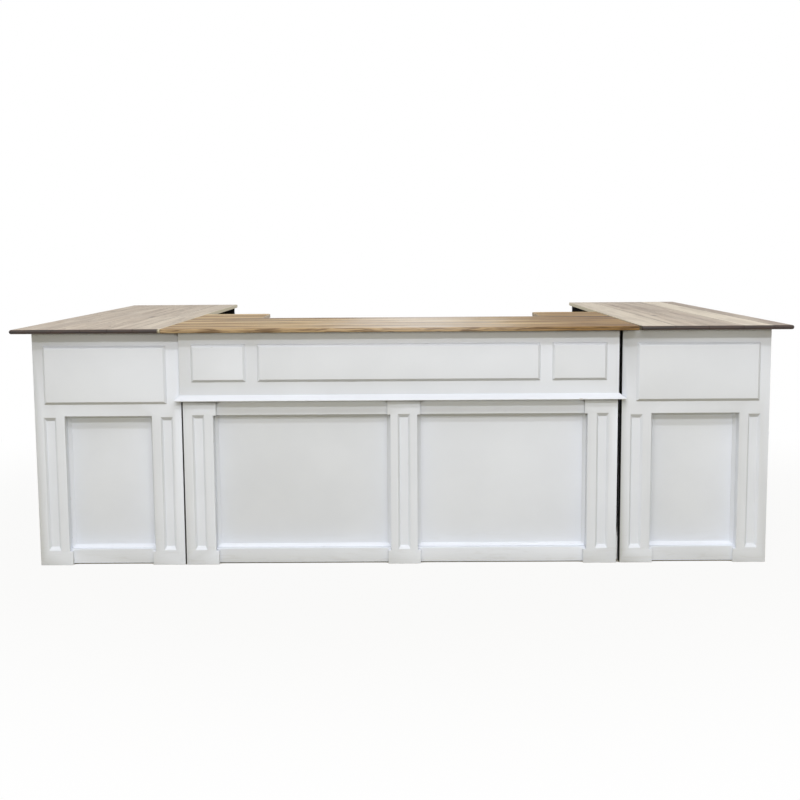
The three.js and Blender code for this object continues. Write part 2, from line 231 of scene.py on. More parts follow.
def grain_group() -> NodeTree:
    """Wood grain along X, as on a plank sawn from a log, with the marks of stain and weather.

    Growth rings are bands of the distance from a pith that runs under the plank's middle and wanders along
    it, so that they come out as arches in the middle of the plank and as lines at its sides. Stretched noise
    gives streaks, blotches, flecks, weathered places and pores, and cells give knots.

    Returns:
        A group that takes a place, the plank's middle across its width and a shift for each plank.
    """
    graph, source, target = new_group(
        "wood grain",
        {"Place": "Vector", "Middle": "Float", "Shift": "Float"},
        ("Blotch", "Figure", "Flecks", "Weather", "Pores", "Knots", "Height"),
    )
    pith_depth, pith_rise, pith_sway = 0.03, 0.05, 0.16  # metres
    rings_per_metre = 125.0
    shift = source["Shift"]
    apart = graph.add("CombineXYZ", {0: shift, 1: graph.math("MULTIPLY", shift, 1.7)}).outputs[0]
    place = graph.add("VectorMath", {0: source["Place"], 1: apart}, operation="ADD").outputs[0]
    wander = graph.streaks(place, (1.3, 2.5, 2.5), 2.0)
    across = graph.math("SUBTRACT", graph.part(source["Place"], "Y"), source["Middle"])
    across = graph.plus(across, graph.math("SUBTRACT", wander, 0.5), pith_sway)
    pith = graph.plus(pith_depth, wander, pith_rise)
    squares = graph.math("ADD", graph.math("POWER", across, 2.0), graph.math("POWER", pith, 2.0))
    turns = graph.math("FRACT", graph.math("MULTIPLY", graph.math("SQRT", squares), rings_per_metre))
    rings = graph.math("MULTIPLY", graph.math("POWER", turns, 2.5), 0.22)
    streaks = graph.math("ADD", graph.streaks(place, (0.7, 30.0, 30.0), 4.0, 0.3), 0.1)
    figure = graph.math("SUBTRACT", streaks, rings)
    pores = graph.step(graph.streaks(place, (9.0, 380.0, 380.0), 2.0), 0.58, 0.72)
    cells = graph.add("TexVoronoi", {"Vector": graph.stretched(place, (1.1, 4.2, 4.2)), "Scale": 1.0})
    values = {
        "Blotch": graph.streaks(place, (1.4, 15.0, 15.0), 4.0, 0.5),
        "Figure": figure,
        "Flecks": graph.streaks(place, (4.5, 70.0, 70.0), 3.0, 0.5),
        "Weather": graph.step(graph.streaks(place, (1.6, 6.5, 6.5)), 0.46, 0.62),
        "Pores": pores,
        "Knots": graph.math("SUBTRACT", 1.0, graph.step(cells.outputs["Distance"], 0.02, 0.1)),
        "Height": graph.math("SUBTRACT", figure, graph.math("MULTIPLY", pores, 0.3)),
    }
    graph.feed(target, values)
    return graph.tree


def brush_group() -> NodeTree:
    """Brushed paint: a faint unevenness of tone, and the height of strokes along Z and of stipple.

    Returns:
        A group that takes a place.
    """
    graph, source, target = new_group("brushed paint", {"Place": "Vector"}, ("Tone", "Height"))
    strokes = graph.streaks(source["Place"], (160.0, 160.0, 9.0))
    stipple = graph.noise(source["Place"], 420.0, 2.0)
    height = graph.plus(graph.math("MULTIPLY", strokes, 0.7), stipple, 0.3)
    graph.feed(target, {"Tone": graph.noise(source["Place"], 3.5, 4.0), "Height": height})
    return graph.tree


def rub_group() -> NodeTree:
    """Rubbed places: a mask of worn patches whose number grows with Amount.

    Returns:
        A group that takes a place and an amount from 0 to 1.
    """
    graph, source, target = new_group("rubbed places", {"Place": "Vector", "Amount": "Float"}, ("Mask",))
    patches = graph.noise(source["Place"], 16.0, 5.0, 0.6)
    grit = graph.noise(source["Place"], 150.0)
    worn = graph.plus(graph.math("MULTIPLY", patches, 0.75), grit, 0.25)
    limit = graph.math("SUBTRACT", 0.85, graph.math("MULTIPLY", source["Amount"], 0.45))
    mask = graph.math("MULTIPLY", graph.math("SUBTRACT", worn, limit), 14.0, clamp=True)
    graph.feed(target, {"Mask": mask})
    return graph.tree


def scuff_group() -> NodeTree:
    """Scuffs near the floor: long faint marks that fade out at Reach above it.

    Returns:
        A group that takes a place and the reach in metres.
    """
    graph, source, target = new_group("floor scuffs", {"Place": "Vector", "Reach": "Float"}, ("Mask",))
    height = graph.math("DIVIDE", graph.part(source["Place"], "Z"), source["Reach"])
    fade = graph.math("SUBTRACT", 1.0, height, clamp=True)
    marks = graph.streaks(source["Place"], (9.0, 9.0, 60.0), 5.0, 1.0)
    graph.feed(target, {"Mask": graph.math("MULTIPLY", fade, graph.step(marks, 0.5, 0.72))})
    return graph.tree


def painted_shade_group() -> NodeTree:
    """Painted shade under edges: a mask that rises where a surface is closely roofed over or looks down, for
    darkening the paint as shade would.

    How far a surface is roofed over is measured about a direction between its normal and straight up. Faces
    that look down take a share of the painted shade, apart from those on the floor.

    Returns:
        A group that takes a place and the reach of the edge above in metres.
    """
    graph, source, target = new_group("edge grime", {"Place": "Vector", "Reach": "Float"}, ("Mask",))
    lean, underside = 0.9, 0.3
    normal = graph.add("NewGeometry").outputs["Normal"]
    raised = graph.add("VectorMath", {0: normal, 1: (0.0, 0.0, lean)}, operation="ADD").outputs[0]
    upward = graph.add("VectorMath", {0: raised}, operation="NORMALIZE").outputs[0]
    roofed = graph.add("AmbientOcclusion", {"Distance": source["Reach"], "Normal": upward}, samples=8)
    corner = graph.step(roofed.outputs["AO"], 0.46, 0.2)
    uneven = graph.plus(0.75, graph.noise(source["Place"], 24.0), 0.5)
    roof = graph.math("MULTIPLY", corner, uneven, clamp=True)
    # faces that look down are darkened as painted shade
    downward = graph.step(graph.part(normal, "Z"), -0.2, -0.6)
    clear = graph.step(graph.part(source["Place"], "Z"), 0.01, 0.03)
    under = graph.math("MULTIPLY", graph.math("MULTIPLY", downward, clear), underside)
    graph.feed(target, {"Mask": graph.math("MAXIMUM", roof, under)})
    return graph.tree


@dataclass(frozen=True)
class Effects:
    """The node groups that the finishes share."""

    painted_shade: NodeTree
    grain: NodeTree
    brush: NodeTree
    rub: NodeTree
    scuff: NodeTree

    @classmethod
    def build(cls) -> "Effects":
        """Builds each group once."""
        return cls(painted_shade_group(), grain_group(), brush_group(), rub_group(), scuff_group())


def new_material(name: str) -> tuple[Material, Graph, Node, NodeSocket]:
    """Starts a material.

    Args:
        name: the material's name.

    Returns:
        The material, its graph, its shader and the place on the piece in Object coordinates.
    """
    material = bpy.data.materials.new(name)
    material.use_nodes = True
    graph = Graph(material.node_tree)
    shader = material.node_tree.nodes["Principled BSDF"]
    place = graph.add("TexCoord").outputs["Object"]
    return material, graph, shader, place


@dataclass(frozen=True)
class BrushedPaint:
    """Paint on wood, brushed on, with painted shade under edges, scuffs near the floor and edges rubbed
    through to the wood.
    """

    name: str
    coat: Colour
    shade: Colour
    under: Colour
    scuff: Colour
    painted_shade: Colour
    roughness: float
    rubbed: float
    scuffed: float
    painted_shade_strength: float = 0.85
    rubbed_through: float = 0.8
    uneven: float = 0.12
    gloss: float = 0.35
    stroke: float = 0.25 * MM
    stroke_strength: float = 0.35

    def build(self, effects: Effects, on_edges: bool = False) -> Material:
        """Makes the material.

        Args:
            effects: the shared node groups.
            on_edges: whether this is for the eased edges, where the paint is rubbed through.

        Returns:
            The material.
        """
        material, graph, shader, place = new_material(self.name + ("_edges" if on_edges else ""))
        brush = graph.placed(effects.brush, Place=place).outputs
        colour = graph.mix(self.shade, self.coat, graph.step(brush["Tone"], 0.3, 0.7))
        scuffs = graph.placed(effects.scuff, Place=place, Reach=SCUFF_REACH).outputs["Mask"]
        colour = graph.tint(colour, self.scuff, scuffs, self.scuffed)
        # painted shade: the paint is darkened where an edge above roofs it over and where it looks down
        painted_shade = graph.placed(effects.painted_shade, Place=place, Reach=PAINTED_SHADE_REACH).outputs["Mask"]
        colour = graph.tint(colour, self.painted_shade, painted_shade, self.painted_shade_strength)
        if on_edges:
            worn = graph.placed(effects.rub, Place=place, Amount=self.rubbed).outputs["Mask"]
            colour = graph.tint(colour, self.under, worn, self.rubbed_through)
        strokes = {"Strength": self.stroke_strength, "Distance": self.stroke, "Height": brush["Height"]}
        values = {
            "Base Color": colour,
            "Roughness": graph.plus(self.roughness - self.uneven / 2, brush["Tone"], self.uneven),
            "Normal": graph.add("Bump", strokes).outputs["Normal"],
            "Specular IOR Level": self.gloss,
        }
        graph.feed(shader, values)
        return material


WHITE_PAINT = BrushedPaint(
    name="white_paint",
    coat=srgb(229, 233, 241),
    shade=srgb(225, 229, 237),
    under=srgb(176, 164, 146),
    scuff=srgb(176, 172, 164),
    painted_shade=srgb(96, 90, 82),
    roughness=0.42,
    rubbed=0.45,
    scuffed=0.14,
)
BLACK_PAINT = BrushedPaint(
    name="black_paint",
    coat=srgb(26, 25, 24),
    shade=srgb(20, 19, 18),
    under=srgb(112, 84, 56),
    scuff=srgb(70, 66, 60),
    painted_shade=srgb(12, 11, 10),
    roughness=0.62,
    rubbed=0.62,
    scuffed=0.5,
)


STEEPED: Colour = (0.56, 0.45, 0.27, 1.0)  # what a second coat of stain leaves of the wood's colour


@dataclass(frozen=True)
class PlankWood:
    """Stained and varnished planks, each with its own tone, and edges of another colour.

    Polish is the middle and the half length of the stretch along X that still shines, and steeped is where
    a second coat of stain begins and where it is full.
    """

    name: str
    light: Colour
    middle: Colour
    dark: Colour
    pale: Colour
    grey: Colour
    edge: Colour
    mark: Colour
    bare: Colour
    under: Colour
    blotched: float
    flecked: float
    weathered: float
    relief: float
    roughness: float
    gloss: float
    polish: tuple[float, float] | None = None
    steeped: tuple[float, float] | None = None
    paled: float = 0.9
    darkened: float = 0.8
    pored: float = 0.2
    knotted: float = 0.7
    bared: float = 0.9
    soaked: float = 0.9
    figure_shine: float = -0.12
    relief_strength: float = 0.5
    coat_roughness: float = 0.3

    def build(self, effects: Effects, run: Run) -> Material:
        """Makes the material for planks that run one way.

        Args:
            effects: the shared node groups.
            run: the way that the planks run.

        Returns:
            The material.
        """
        material, graph, shader, place = new_material(self.name)
        turned = graph.add("Mapping", {"Vector": place, "Rotation": (0.0, 0.0, run.value)}).outputs[0]
        middle, shift = graph.attribute("plank_middle"), graph.attribute("plank_shift")
        grain = graph.placed(effects.grain, Place=turned, Middle=middle, Shift=shift)
        blotch, figure, height = (grain.outputs[label] for label in ("Blotch", "Figure", "Height"))
        upward = graph.part(graph.add("NewGeometry").outputs["Normal"], "Z")
        face, edge = self.face_colour(graph, grain), self.edge_colour(graph, place)
        colour = graph.mix(edge, face, graph.step(upward, 0.9, 0.995))
        colour = graph.mix(colour, self.under, graph.step(upward, -0.75, -0.97))
        if self.steeped:
            ragged = graph.plus(graph.part(place, "X"), graph.math("SUBTRACT", blotch, 0.5), 0.5)
            deep = graph.math("MULTIPLY", graph.step(ragged, *self.steeped), self.soaked)
            colour = graph.mix(colour, STEEPED, deep, "MULTIPLY")
        relief = {"Strength": self.relief_strength, "Distance": self.relief, "Height": height}
        values = {
            "Base Color": colour,
            "Roughness": graph.plus(self.roughness, figure, self.figure_shine),
            "Normal": graph.add("Bump", relief).outputs["Normal"],
            "Specular IOR Level": self.gloss,
        }
        if self.polish:
            shine = graph.math("MULTIPLY", self.polished(graph, place), graph.step(blotch, 0.76, 0.5))
            values |= {"Coat Weight": shine, "Coat Roughness": self.coat_roughness}
        graph.feed(shader, values)
        return material

    def face_colour(self, graph: Graph, grain: Node) -> NodeSocket:
        """The colour of the planks' faces: the figure, tinted by tone, stain, flecks, pores and knots.

        Args:
            graph: the material's graph.
            grain: the wood grain, placed in it.

        Returns:
            The colour.
        """
        found, tone = grain.outputs, graph.attribute("plank_tone")
        figure, blotch, flecks = found["Figure"], found["Blotch"], found["Flecks"]
        colour = graph.mix(self.dark, self.middle, graph.step(figure, 0.26, 0.52))
        colour = graph.mix(colour, self.light, graph.step(figure, 0.48, 0.72))
        layers = (
            (self.grey, found["Weather"], self.weathered),
            (self.pale, graph.step(tone, 0.5, 1.0), self.paled),
            (self.dark, graph.step(tone, 0.5, 0.0), self.darkened),
            (self.dark, graph.step(blotch, 0.51, 0.64), self.blotched),
            (self.pale, graph.step(blotch, 0.48, 0.36), self.blotched),
            (self.dark, graph.step(flecks, 0.54, 0.68), self.flecked),
            (self.pale, graph.step(flecks, 0.46, 0.32), self.flecked),
            (self.dark, found["Pores"], self.pored),
            (self.mark, found["Knots"], self.knotted),
        )
        for towards, mask, amount in layers:
            colour = graph.tint(colour, towards, mask, amount)
        return colour

    def edge_colour(self, graph: Graph, place: NodeSocket) -> NodeSocket:
        """The colour of the planks' edges, streaked along them, and bare where the mesh says so."""
        streak = graph.step(graph.streaks(place, (9.0, 9.0, 160.0), 5.0, 0.8), 0.42, 0.62)
        stained = graph.mix(self.edge, self.mark, streak)
        return graph.tint(stained, self.bare, graph.attribute("bare_end"), self.bared)

    def polished(self, graph: Graph, place: NodeSocket) -> NodeSocket:
        """A mask of the stretch along X where the varnish still shines, with ragged ends."""
        centre, reach = self.polish
        away = graph.math("ABSOLUTE", graph.math("SUBTRACT", graph.part(place, "X"), centre))
        ragged = graph.plus(away, graph.noise(place, 7.0), POLISH_FADE)
        return graph.step(ragged, reach + POLISH_FADE, reach * 0.4)


GOLDEN_WOOD = PlankWood(
    name="golden_wood",
    light=srgb(182, 150, 102),
    middle=srgb(148, 114, 70),
    dark=srgb(82, 57, 34),
    pale=srgb(212, 188, 144),
    grey=srgb(150, 134, 112),
    edge=srgb(180, 154, 118),
    mark=srgb(112, 90, 66),
    bare=srgb(204, 190, 168),
    under=srgb(140, 116, 82),
    blotched=0.62,
    flecked=0.6,
    weathered=0.6,
    relief=0.3 * MM,
    roughness=0.62,
    gloss=0.2,
    polish=(0.08, 0.4),
    steeped=(0.35, 0.85),
)
GREY_WOOD = PlankWood(
    name="grey_wood",
    light=srgb(184, 170, 151),
    middle=srgb(168, 152, 134),
    dark=srgb(126, 109, 94),
    pale=srgb(214, 203, 184),
    grey=srgb(172, 160, 146),
    edge=srgb(54, 36, 26),
    mark=srgb(30, 19, 13),
    bare=srgb(206, 196, 166),
    under=srgb(128, 112, 92),
    blotched=0.26,
    flecked=0.16,
    weathered=0.4,
    relief=0.06 * MM,
    roughness=0.58,
    gloss=0.5,
)


@dataclass(frozen=True)
class PlatedSteel:
    """Zinc-plated steel, bright and dull in fine spots."""

    name: str
    dull: Colour
    bright: Colour
    roughness: float
    uneven: float

    def build(self) -> Material:
        """Makes the material."""
        material, graph, shader, place = new_material(self.name)
        spots = graph.noise(place, 900.0, 2.0)
        values = {
            "Base Color": graph.mix(self.dull, self.bright, spots),
            "Roughness": graph.plus(self.roughness, spots, self.uneven),
            "Metallic": 1.0,
        }
        graph.feed(shader, values)
        return material


SCREW_STEEL = PlatedSteel("screw_steel", srgb(150, 148, 142), srgb(205, 204, 200), 0.25, 0.2)


def into_scene(name: str, data: ID) -> Object:
    """Puts a mesh, a camera or a lamp into the scene as an object."""
    thing = bpy.data.objects.new(name, data)
    bpy.context.scene.collection.objects.link(thing)
    return thing


def new_piece(name: str, mesh: Mesh, body: str, slot: str, *nodes: str) -> Object:
    """Puts a mesh into the scene as a piece of the bar.

    Args:
        name: the piece's name.
        mesh: its mesh, in place.
        body: the body that it moves with.
        slot: not used.
        nodes: the solids that it stands for.

    Returns:
        The piece.
    """
    piece = into_scene(name, mesh)
    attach(piece, body)
    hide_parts(*nodes)
    LOG.info("%s on %s, %d faces", name, body, len(mesh.polygons))
    return piece


def rounded_section(
    span: tuple[float, float], rise: tuple[float, float], radii: tuple[float, ...], run: int, arc: int = 4
) -> tuple[np.ndarray, np.ndarray]:
    """The outline of a board's section, a rectangle with a quarter circle at each corner.

    Args:
        span: limits along the section.
        rise: limits of its height.
        radii: corner radii, from the bottom far corner counter-clockwise.
        run: points along the bottom and the top.
        arc: steps of each quarter circle.

    Returns:
        The points and their outward normals, counter-clockwise, as arrays of two columns.
    """
    signs = ((1, -1), (1, 1), (-1, 1), (-1, -1))
    corners = [(span[sx > 0] - sx * r, rise[sz > 0] - sz * r) for (sx, sz), r in zip(signs, radii)]
    turns = [math.radians(90 * i - 90) + np.linspace(0, math.pi / 2, arc + 1) for i in range(4)]
    normals = [np.stack([np.cos(turn), np.sin(turn)], axis=1) for turn in turns]
    arcs = [np.array(corner) + r * normal for corner, r, normal in zip(corners, radii, normals)]
    points, outward = [], []
    for i, inner in enumerate((1, run, 1, run)):
        share = np.linspace(0, 1, inner + 2)[1:-1, None]
        straight = arcs[i][-1] * (1 - share) + arcs[(i + 1) % 4][0] * share
        points += [arcs[i], straight]
        outward += [normals[i], np.repeat(normals[i][-1:], inner, axis=0)]
    return np.concatenate(points), np.concatenate(outward)


def ring_faces(rings: int, points: int, start: int) -> list[list[int]]:
    """Quads between neighbouring rings of a grid, and a face on the first and the last ring.

    Args:
        rings: number of rings.
        points: number of points in each, closing on itself.
        start: number of the grid's first point in the mesh.

    Returns:
        The faces as lists of corner numbers.
    """
    ring = start + np.arange(rings - 1)[:, None] * points
    here = np.arange(points)[None]
    after = (here + 1) % points
    quads = np.stack([ring + here, ring + after, ring + points + after, ring + points + here], axis=-1)
    cap = start + np.arange(points)
    caps = [cap[::-1].tolist(), (cap + (rings - 1) * points).tolist()]
    return quads.reshape(-1, 4).tolist() + caps


@dataclass(frozen=True)
class Plank:
    """One plank along X: where it lies, the radii of its edges and of its ends, and its tone.

    Bare ends have no stain from bare_from behind the front. Ragged is the depth of the chips in its front
    edge, and corner is the radius, in plan, of its far corner at one end.
    """

    x: tuple[float, float]
    y: tuple[float, float]
    z: tuple[float, float]
    near: float
    far: float
    start: float
    end: float
    tone: float
    seed: int
    bare: tuple[bool, bool] = (False, False)
    bare_from: float = 0.0
    ragged: float = 0.0
    corner: float = 0.0
    corner_at_end: bool = True

    @property
    def shift(self) -> float:
        """How far along the log its grain is taken from."""
        return GRAIN_STEP * self.seed % GRAIN_SPAN

    def stations(self) -> tuple[np.ndarray, np.ndarray]:
        """Places along X and how far the section draws in there: a quarter circle at each end."""
        turn = np.linspace(0, math.pi / 2, ROUND_STEPS)
        first = self.x[0] + self.start * (1 - np.cos(turn))
        last = self.x[1] - self.end * (1 - np.cos(turn))
        count = max(8, int((self.x[1] - self.x[0]) / RING_STEP))
        inner = np.linspace(first[-1], last[-1], count + 2)[1:-1]
        places = np.concatenate([first, inner, last[::-1]])
        drawn = np.concatenate(
            [self.start * (1 - np.sin(turn)), np.zeros(count), self.end * (1 - np.sin(turn[::-1]))]
        )
        return places, drawn

    def surface(self) -> np.ndarray:
        """The plank's surface: its section in Y and Z, carried along X and drawn in at both ends.

        The top sways by a sum of slow sines, a ragged front edge moves in by a sum of quick ones, and a
        rounded corner narrows the plank along a quarter circle in plan.

        Returns:
            The points as rings along X, by points of the section, by three.
        """
        draw = np.random.default_rng(self.seed)
        run = max(6, int((self.y[1] - self.y[0]) / SECTION_STEP))
        points, normals = rounded_section(self.y, self.z, (self.far, self.far, self.near, self.near), run)
        places, drawn = self.stations()
        flat = points[None] - normals[None] * drawn[:, None, None]
        y, z = flat[..., 0], flat[..., 1]
        x = np.repeat(places[:, None], y.shape[1], axis=1)
        phase = draw.uniform(0, 2 * math.pi, 4)  # the last is spare
        waves = zip(SWAY_WAVES, phase)
        sway = sum(height * np.sin(u * x + v * y + turn) for (u, v, height), turn in waves)
        top = np.clip(normals[None, :, 1], 0, 1)
        z = z - top * SWAY * (1 + sway / SWAY_MOST)
        front = np.clip(-normals[None, :, 0], 0, 1)
        chips = sum(share * np.sin(rate * x + draw.uniform(0, 6)) for rate, share in CHIP_WAVES)
        y = y + front * self.ragged * np.clip(0.5 + chips, 0, 1)
        if self.corner:
            away = (self.x[1] - x) if self.corner_at_end else (x - self.x[0])
            inside = np.clip(self.corner - away, 0, self.corner)
            loss = self.corner - np.sqrt(np.maximum(self.corner**2 - inside**2, 0))
            width = self.y[1] - self.y[0]
            y = self.y[0] + (y - self.y[0]) * (1 - loss / width)
        return np.stack([x, y, z], axis=-1)

    def bare_ends(self, grid: np.ndarray) -> np.ndarray:
        """Marks the points of the ends that were left without stain.

        Args:
            grid: the plank's surface.

        Returns:
            1 on those points, from some way behind the front, and 0 on the others.
        """
        place = np.arange(len(grid))
        first = (place < ROUND_STEPS) & self.bare[0]
        last = (place >= len(grid) - ROUND_STEPS) & self.bare[1]
        behind = grid[..., 1] >= self.y[0] + self.bare_from
        return ((first | last)[:, None] & behind).astype(np.float32).reshape(-1)


@dataclass
class PlankTop:
    """A top made of planks laid side by side, in the place of one solid board.

    Shares are the planks' widths against each other. Front is the radius of the top's front edge, ends are
    those of its left and right ends, and near and eased are those of the edges at the seams.
    """

    node: str
    body: str
    slot: str
    run: Run
    shares: tuple[float, ...]
    tones: tuple[float, ...]
    seed: int
    seam: float = 1.2 * MM
    near: float = 2.0 * MM
    eased: float = 2.2 * MM
    front: float = 9.0 * MM
    ends: tuple[float, float] = (1.6 * MM, 1.6 * MM)
    bare: tuple[bool, bool] = (False, False)
    bare_from: float = 0.0
    ragged: float = 0.0
    corner: float = 0.0
    corner_at_end: bool = True

    @property
    def across(self) -> int:
        """The axis across the planks, 0 for X and 1 for Y."""
        return 1 if self.run is Run.ALONG_FRONT else 0

    def planks(self) -> list[Plank]:
        """The planks, set side by side from the front or from the left."""
        low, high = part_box(self.node)
        width = high[self.across] - low[self.across]
        cuts = low[self.across] + np.cumsum((0.0, *self.shares)) / sum(self.shares) * width
        planks = []
        for i, tone in enumerate(self.tones):
            first, last = i == 0, i == len(self.tones) - 1
            near_side = cuts[i] + (0 if first else self.seam / 2)
            far_side = cuts[i + 1] - (0 if last else self.seam / 2)
            if self.run is Run.ALONG_FRONT:
                own = dict(
                    x=(low.x, high.x),
                    y=(near_side, far_side),
                    near=self.front if first else self.near,
                    far=self.eased,
                    start=self.ends[0],
                    end=self.ends[1],
                    bare=self.bare,
                    ragged=self.ragged if first else 0.0,
                    corner=self.corner if last else 0.0,
                    corner_at_end=self.corner_at_end,
                )
            else:
                own = dict(
                    x=(near_side, far_side),
                    y=(low.y, high.y),
                    near=self.front,
                    far=self.front,
                    start=self.ends[0] if first else self.eased,
                    end=self.ends[1] if last else self.eased,
                    bare=(self.bare[0] and first, self.bare[1] and last),
                )
            rise, seed = (low.z, high.z), self.seed + i
            planks.append(Plank(z=rise, tone=tone, seed=seed, bare_from=self.bare_from, **own))
        return planks

    def build(self, material: Material) -> Object:
        """Builds the planks as one piece that stands for the solid top.

        Args:
            material: the wood.

        Returns:
            The piece.
        """
        verts, faces = [], []
        named = {"plank_tone": [], "plank_middle": [], "plank_shift": [], "bare_end": []}
        count = 0
        for plank in self.planks():
            grid = plank.surface()
            rings, points = grid.shape[:2]
            size = rings * points
            verts.append(grid.reshape(-1, 3))
            faces += ring_faces(rings, points, count)
            middle = sum((plank.x, plank.y)[self.across]) / 2
            named["plank_tone"].append(np.full(size, plank.tone, np.float32))
            named["plank_middle"].append(np.full(size, middle, np.float32))
            named["plank_shift"].append(np.full(size, plank.shift, np.float32))
            named["bare_end"].append(plank.bare_ends(grid))
            count += size
        mesh = bpy.data.meshes.new(self.node + "_planks")
        mesh.from_pydata(np.concatenate(verts).tolist(), [], faces)
        for label, values in named.items():
            attribute = mesh.attributes.new(label, "FLOAT", "POINT")
            attribute.data.foreach_set("value", np.concatenate(values))
        mesh.shade_smooth()
        mesh.materials.append(material)
        return new_piece(self.node + "_planks", mesh, self.body, self.slot, self.node)


@dataclass(frozen=True)
class ScrewRow:
    """A row of countersunk screws in a top, each a shallow dish with a raised rim."""

    name: str
    body: str
    places: tuple[tuple[float, float], ...]
    level: float
    radius: float = 4.0 * MM

    def build(self, material: Material) -> Object:
        """Builds the heads: a lathed profile of rim, dish and recess, repeated at each place.

        Args:
            material: the steel.

        Returns:
            The piece.
        """
        reach, rise = np.array(SCREW_PROFILE).T[..., None]
        turn = np.linspace(0, 2 * math.pi, SCREW_SIDES, endpoint=False)
        x = reach * np.cos(turn) * self.radius
        y = reach * np.sin(turn) * self.radius
        z = np.repeat(rise * MM, SCREW_SIDES, axis=1)
        head = np.stack([x, y, z], axis=-1).reshape(-1, 3)
        verts = np.concatenate([head + (px, py, self.level) for px, py in self.places])
        faces = []
        for start in range(0, len(verts), len(head)):
            faces += ring_faces(len(SCREW_PROFILE), SCREW_SIDES, start)
        mesh = bpy.data.meshes.new(self.name)
        mesh.from_pydata(verts.tolist(), [], faces)
        mesh.shade_smooth()
        mesh.materials.append(material)
        piece = into_scene(self.name, mesh)
        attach(piece, self.body)
        LOG.info("%s on %s, %d screws", self.name, self.body, len(self.places))
        return piece


@dataclass(frozen=True)
class Paints:
    """The two paints, each with its own material for eased edges."""

    white: Material
    white_edge: Material
    black: Material
    black_edge: Material

    @classmethod
    def build(cls, effects: Effects) -> "Paints":
        """Builds the four materials."""
        return cls(
            WHITE_PAINT.build(effects),
            WHITE_PAINT.build(effects, on_edges=True),
            BLACK_PAINT.build(effects),
            BLACK_PAINT.build(effects, on_edges=True),
        )


@dataclass(frozen=True)
class Joinery:
    """A painted board: a solid of the bar with eased edges, black on the side that faces inside."""

    node: str
    body: str
    slot: str
    inside: Side | None = None
    ease: float = 1.2 * MM

    def build(self, paints: Paints) -> Object:
        """Builds the piece from a merged copy of the solid, with its edges bevelled.

        Args:
            paints: the paints.

        Returns:
            The piece.
        """
        mesh = self.merged()
        white = self.slot == WHITE_PAINT.name
        materials = (paints.white, paints.white_edge) if white else (paints.black, paints.black_edge)
        mesh.materials.clear()
        for material in (*materials, paints.black):
            mesh.materials.append(material)
        mesh.polygons.foreach_set("material_index", self.painted(mesh))
        mesh.shade_smooth()
        piece = new_piece(self.node + "_painted", mesh, self.body, self.slot, self.node)
        bevel = piece.modifiers.new("eased edges", "BEVEL")
        bevel.width = self.ease
        bevel.segments = EASE_STEPS
        bevel.limit_method = "ANGLE"
        bevel.angle_limit = SOFT_EDGE
        bevel.harden_normals = True
        bevel.material = EDGE_PAINT
        return piece

    def merged(self) -> Mesh:
        """A copy of the solid's mesh, with its loose triangles joined into whole flat faces."""
        mesh = frame["nodes"][self.node].data.copy()
        mesh.name = self.node + "_painted"
        work = bmesh.new()
        work.from_mesh(mesh)
        bmesh.ops.remove_doubles(work, verts=work.verts, dist=MERGE)
        bmesh.ops.dissolve_limit(work, angle_limit=FLAT, verts=work.verts, edges=work.edges)
        work.to_mesh(mesh)
        work.free()
        return mesh

    def painted(self, mesh: Mesh) -> np.ndarray:
        """Which paint each face takes.

        Args:
            mesh: the piece's mesh.

        Returns:
            The material number of each face: the inside's where it is the innermost that looks inside.
        """
        count = len(mesh.polygons)
        if self.inside is None:
            return np.full(count, FACE_PAINT, np.int32)
        normals, centres = np.empty(count * 3, np.float32), np.empty(count * 3, np.float32)
        mesh.polygons.foreach_get("normal", normals)
        mesh.polygons.foreach_get("center", centres)
        inward = np.array(self.inside.value, np.float32)
        depth = centres.reshape(-1, 3) @ inward
        innermost = depth > depth.max() - MM
        facing = normals.reshape(-1, 3) @ inward > FACING
        return np.where(facing & innermost, INSIDE_PAINT, FACE_PAINT).astype(np.int32)


@dataclass
class Unit:
    """One free-standing unit of the bar: its joinery and the tops that it carries."""

    body: str
    inside: dict[str, Side]
    tops: list[PlankTop]

    def build(self, paints: Paints, woods: dict[str, Material]) -> None:
        """Builds every piece of the unit.

        Args:
            paints: the paints of the joinery.
            woods: slot to the wood of the tops.
        """
        covered = {top.node for top in self.tops}
        bodies = frame["record"]["behaviour"]["bodies"]
        slots = {row["node"]: row["material_slot"] for row in frame["record"]["subparts"]}
        for node in bodies[self.body]:
            if node not in covered:
                Joinery(node, self.body, slots[node], self.inside.get(node)).build(paints)
        for top in self.tops:
            top.build(woods[top.slot])


def centre_unit() -> Unit:
    """The centre unit, with its top and the two corner boards behind it."""
    tops = [
        PlankTop(
            node="centre_top",
            body="centre_bar",
            slot=GOLDEN_WOOD.name,
            run=Run.ALONG_FRONT,
            shares=(1.0, 0.9, 1.1, 0.95, 1.05, 0.9, 1.0, 0.95),
            tones=(0.6, 0.3, 0.74, 0.42, 0.8, 0.36, 0.66, 0.2),
            seed=11,
            front=5.0 * MM,
            ragged=2.5 * MM,
        )
    ]
    for place, tones, at_end in (("left", (0.74, 0.46, 0.8), True), ("right", (0.8, 0.62, 0.9), False)):
        board = PlankTop(
            node="corner_board_" + place,
            body="centre_bar",
            slot=GOLDEN_WOOD.name,
            run=Run.ALONG_FRONT,
            shares=(1.0, 1.05, 0.95),
            tones=tones,
            seed=31 if at_end else 41,
            front=2.0 * MM,
            bare=(not at_end, at_end),
            corner=30.0 * MM,
            corner_at_end=at_end,
        )
        tops.append(board)
    return Unit("centre_bar", {"centre_recess_sheet": Side.BACK}, tops)


def centre_screws() -> ScrewRow:
    """A row of screws along the middle of the centre top."""
    low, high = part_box("centre_top")
    middle = float((low.y + high.y) / 2)
    places = tuple((float(x), middle) for x in np.linspace(-SCREW_REACH, SCREW_REACH, SCREW_COUNT))
    return ScrewRow("centre_top_screws", "centre_bar", places, high.z - SCREW_SINK)


